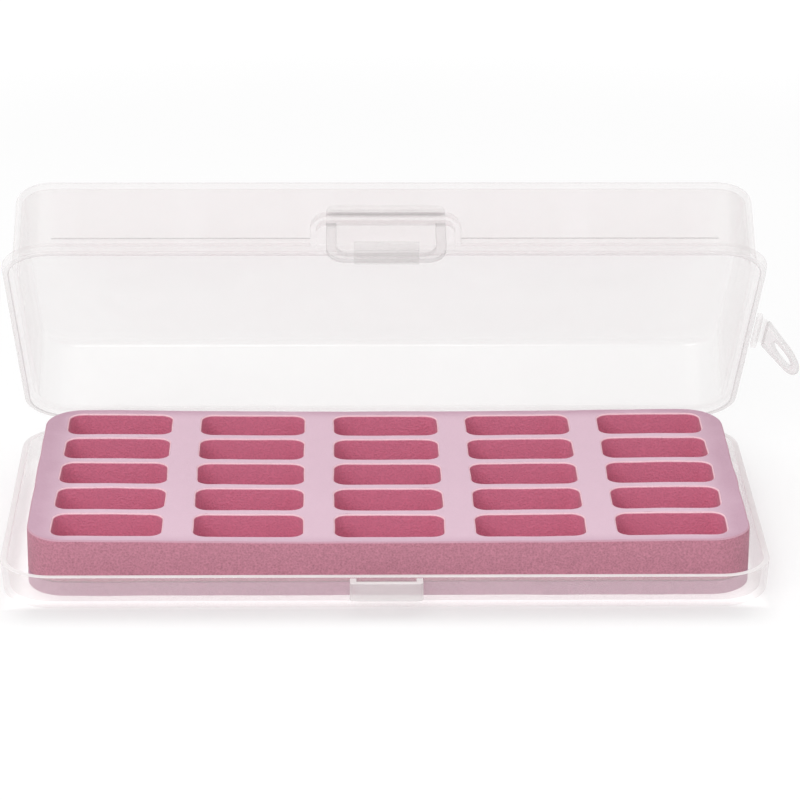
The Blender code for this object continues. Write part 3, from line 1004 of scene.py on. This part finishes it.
def make_hang_tab(clear, film_clear):
    inner = CASE_WIDTH / 2 - CONTACT_SINK
    lug = soft_block(
        "tab_lug",
        (inner, -TAB_FROM_HINGE - LUG_HALF, TAB_AXIS_H - LUG_THICKNESS / 2),
        (TAB_AXIS_X - TAB_GAP, -TAB_FROM_HINGE + LUG_HALF, TAB_AXIS_H + LUG_THICKNESS / 2),
        LUG_EDGE,
        clear,
        lid_place,
    )
    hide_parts("hang_tab_lug")
    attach(lug, "lid")

    tip = TAB_LENGTH + TAB_GAP
    radius = TAB_TIP_RADIUS
    outline = [(TAB_GAP, TAB_ROOT_HALF), (TAB_GAP, -TAB_ROOT_HALF)]
    steps = 24
    for step in range(steps + 1):
        angle = math.radians(-90 + 180 * step / steps)
        outline.append((tip - radius + radius * math.cos(angle), radius * math.sin(angle)))
    hole_middle = tip - TAB_HOLE_TO_TIP - TAB_HOLE_LENGTH / 2
    hole = rounded_outline(
        TAB_HOLE_LENGTH, TAB_HOLE_WIDTH, TAB_HOLE_WIDTH * 0.49, 10, (hole_middle, 0.0)
    )
    tongue = moulded_plate("tab_tongue", [outline, hole], TAB_THICKNESS, TAB_EDGE, clear, tab_place)
    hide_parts("hang_tab")
    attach(tongue, "tab")

    path = [(-TAB_FILM_TAIL, 0.0), (-0.8 * MM, 0.0)]
    steps = 8
    for step in range(steps + 1):
        turn = TAB_DROOP * step / steps
        reach = TAB_FILM_BEND * (2 * step / steps - 1)
        if reach <= 0:
            path.append((reach, 0.0))
        else:
            path.append((reach * math.cos(turn), -reach * math.sin(turn)))
    path.append((TAB_FILM_TAIL * math.cos(TAB_DROOP), -TAB_FILM_TAIL * math.sin(TAB_DROOP)))

    def along(across, up, out):
        return (across, out, up)

    axis_place = lid_place @ Matrix.Translation((TAB_AXIS_X, -TAB_FROM_HINGE, TAB_AXIS_H))
    film = film_strip("tab_fold", path, FILM, TAB_FILM_WIDTH, along, film_clear, axis_place)
    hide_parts("tab_film")
    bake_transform(film)


def die_cut(outline, wander, seed):
    """An outline whose edge wanders a little, as a knife leaves it in soft foam."""
    moved = []
    for x, y in outline:
        spot = Vector((x, y, seed)) * 130.0
        moved.append((x + wander * noise.noise(spot), y + wander * noise.noise(spot + Vector((31.7, 0, 0)))))
    return moved


def densified(outline, spacing):
    """The same closed outline with points no further apart than the spacing."""
    points = []
    for (x0, y0), (x1, y1) in zip(outline, outline[1:] + outline[:1]):
        pieces = max(1, math.ceil(math.hypot(x1 - x0, y1 - y0) / spacing))
        for step in range(pieces):
            points.append((x0 + (x1 - x0) * step / pieces, y0 + (y1 - y0) * step / pieces))
    return points


def sag_middle(block, low, high):
    """Lowers the block's top a little towards the middle of its length."""
    work = bmesh.new()
    work.from_mesh(block.data)
    for number in range(1, SAG_BANDS):
        x = low.x + (high.x - low.x) * number / SAG_BANDS
        everything = list(work.verts) + list(work.edges) + list(work.faces)
        bmesh.ops.bisect_plane(work, geom=everything, plane_co=(x, 0, 0), plane_no=(1, 0, 0))
    middle = (low.x + high.x) / 2
    reach = 2 * COLUMN_PITCH
    for vertex in work.verts:
        share = max(0.0, (vertex.co.z - low.z) / (high.z - low.z))
        across = min(1.0, abs(vertex.co.x - middle) / reach)
        vertex.co.z -= FOAM_SAG * share * (1 - across * across)
    work.to_mesh(block.data)
    work.free()


def sheet_outline(size, centre):
    """The outline that both foam layers are cut to."""
    whole = rounded_outline(size.x - CUT_MARGIN, size.y - CUT_MARGIN, FOAM_CORNER, 14, centre)
    return die_cut(densified(whole, OUTLINE_SPACING), CUT_WANDER, 0.0)


def make_foam(foam, slot_foam_painted_light, backing):
    low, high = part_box("foam_block")
    centre = ((low.x + high.x) / 2, (low.y + high.y) / 2)
    size = high - low
    outlines = [sheet_outline(size, centre)]
    for column in range(SLOT_COLUMNS):
        for row in range(SLOT_ROWS):
            x = centre[0] + SLOT_SHIFT + (column - (SLOT_COLUMNS - 1) / 2) * COLUMN_PITCH
            y = centre[1] + (row - (SLOT_ROWS - 1) / 2) * ROW_PITCH
            slot = rounded_outline(SLOT_LENGTH, SLOT_WIDTH, SLOT_CORNER, 8, (x, y))
            outlines.append(die_cut(densified(slot, SLOT_SPACING), CUT_WANDER, 3.0 + column * 7 + row))
    middle = Matrix.Translation((0, 0, (low.z + high.z) / 2))
    block = moulded_plate("foam_slotted_block", outlines, size.z, FOAM_EDGE, foam, middle)
    sag_middle(block, low, high)
    block.data.materials.append(slot_foam_painted_light)
    half = (high - low) / 2
    # Slot walls take the slot foam, with its painted bounce light and painted highlight.
    for face in block.data.polygons:
        from_end = half.x - abs(face.center.x - centre[0])
        from_side = half.y - abs(face.center.y - centre[1])
        inside = min(from_end, from_side) > 2 * MM and from_end + from_side > 0.8 * FOAM_CORNER
        if inside and face.normal.z < 0.97:
            face.material_index = 1
    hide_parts("foam_block")
    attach(block, "tray")

    low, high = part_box("foam_backing")
    bottom = TRAY_FLOOR + BACKING_ABOVE_FLOOR
    top = high.z + BACKING_RISE
    sheet = moulded_plate(
        "foam_backing_sheet",
        [sheet_outline(high - low, centre)],
        top - bottom,
        BACKING_EDGE,
        backing,
        Matrix.Translation((0, 0, (top + bottom) / 2)),
    )
    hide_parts("foam_backing")
    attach(sheet, "tray")


# --------------------------------------------------------------------- studio


def area_light(name, place, aim, size, power):
    data = bpy.data.lights.new(name, "AREA")
    data.shape = "RECTANGLE"
    data.size, data.size_y = size
    data.energy = power
    light = bpy.data.objects.new(name, data)
    bpy.context.scene.collection.objects.link(light)
    light.location = place
    light.rotation_euler = (Vector(aim) - Vector(place)).to_track_quat("-Z", "Y").to_euler()


def make_studio():
    work = bmesh.new()
    bmesh.ops.create_grid(work, x_segments=8, y_segments=8, size=4.0)
    floor = finished_object("studio_floor", work, studio_floor())
    floor.location.z = -0.0002
    floor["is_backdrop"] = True
    area_light("overhead_softbox", (0.0, 0.25, 1.4), (0, 0.05, 0), (2.4, 1.8), 10.0)
    area_light("front_softbox", (-0.3, -0.9, 0.6), (0, 0, 0.03), (0.9, 0.5), 4.5)
    world = bpy.data.worlds.new("studio_room")
    world.use_nodes = True
    backdrop = world.node_tree.nodes["Background"]
    backdrop.inputs["Color"].default_value = (1.0, 1.0, 1.0, 1.0)
    backdrop.inputs["Strength"].default_value = 0.56
    bpy.context.scene.world = world
    bpy.context.scene.view_settings.view_transform = "Standard"


def make_camera():
    """Long lens, a little to the left of the middle and 22 degrees above the table."""
    side, rise = VIEW_SIDE, VIEW_RISE
    ahead = Vector((math.sin(side) * math.cos(rise), math.cos(side) * math.cos(rise), -math.sin(rise)))
    right = Vector((math.cos(side), -math.sin(side), 0.0))
    up = right.cross(ahead)
    aim = (ahead + right * math.tan(AIM_SIDE) + up * math.tan(AIM_LIFT)).normalized()
    camera_right = (right * math.cos(VIEW_ROLL) + up * math.sin(VIEW_ROLL)).normalized()
    camera_up = (-aim).cross(camera_right).normalized()
    camera_right = camera_up.cross(-aim)
    turn = Matrix((camera_right, camera_up, -aim)).transposed().to_4x4()
    data = bpy.data.cameras.new("studio_camera")
    data.sensor_width = SENSOR_WIDTH
    data.lens = LENS
    data.clip_start = 10 * MM
    camera = bpy.data.objects.new("studio_camera", data)
    bpy.context.scene.collection.objects.link(camera)
    camera.matrix_world = Matrix.Translation(VIEW_TARGET - ahead * VIEW_DISTANCE) @ turn
    bpy.context.scene.camera = camera


def main():
    # Rim milk and rim white set each plastic's painted rim shading, greyer than its faces on most mouldings.
    clear = Plastic("clear_polypropylene", milk=0.11, edge_milk=0.3, rim_shading_milk=0.4, rim_shading_white=0.9)
    # The tray's rim milk and rim white paint a white highlight line along its rim.
    tray_clear = Plastic("clear_polypropylene_tray", milk=0.18, edge_milk=0.06, rim_shading_milk=0.92, rim_shading_white=0.97)
    # The catch's dense milk paints a white highlight on its up-facing faces, with greyer painted shade on its
    # sides.
    catch_clear = Plastic("clear_polypropylene_catch", milk=0.8, edge_milk=0.2, rim_shading_milk=0.34, rim_shading_white=0.88)
    tab_clear = Plastic("clear_polypropylene_tab", milk=0.14, edge_milk=0.3, rim_shading_milk=0.35, rim_shading_white=0.75)
    # The bail's lower face white greys it as painted shade.
    bail_clear = Plastic(
        "clear_polypropylene_bail", milk=0.22, edge_milk=0.25, rim_shading_milk=0.4, rim_shading_white=0.66, face_white=0.8
    )
    grip_clear = Plastic("clear_polypropylene_grip", milk=0.14, edge_milk=0.25, rim_shading_milk=0.2, rim_shading_white=0.78)
    film_clear = Plastic("clear_polypropylene_thin", milk=0.08, edge_milk=0.15, rim_shading_milk=0.11)
    foam = pink_foam("pink_foam_cut", cut=(0.48, 0.2, 0.265), rim_tone_and_highlight=(0.62, 0.36, 0.45), grit=2.3)
    # Slot foam: the cut colour, redder than the outer cut faces, is painted bounce light; the bright rim
    # colour is a painted highlight on the slot bevels.
    slot_foam_painted_light = pink_foam("pink_foam_slot_painted_light", cut=(0.69, 0.21, 0.32), rim_tone_and_highlight=(0.98, 0.7, 0.77), grit=1.0)
    backing = pink_foam("pink_foam_backing", cut=(0.5, 0.26, 0.36), rim_tone_and_highlight=(0.5, 0.26, 0.36), grit=2.0)
    make_camera()
    make_studio()
    make_tray(tray_clear)
    make_catch(catch_clear)
    make_foam(foam, slot_foam_painted_light, backing)
    make_lid(clear)
    make_hinge_films(film_clear)
    make_latch(grip_clear, bail_clear, film_clear)
    make_hang_tab(tab_clear, film_clear)
    boxes = {"cad": cad_box, "visual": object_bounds()}
    {name: [list(corner) for corner in box] for name, box in boxes.items()}


main()
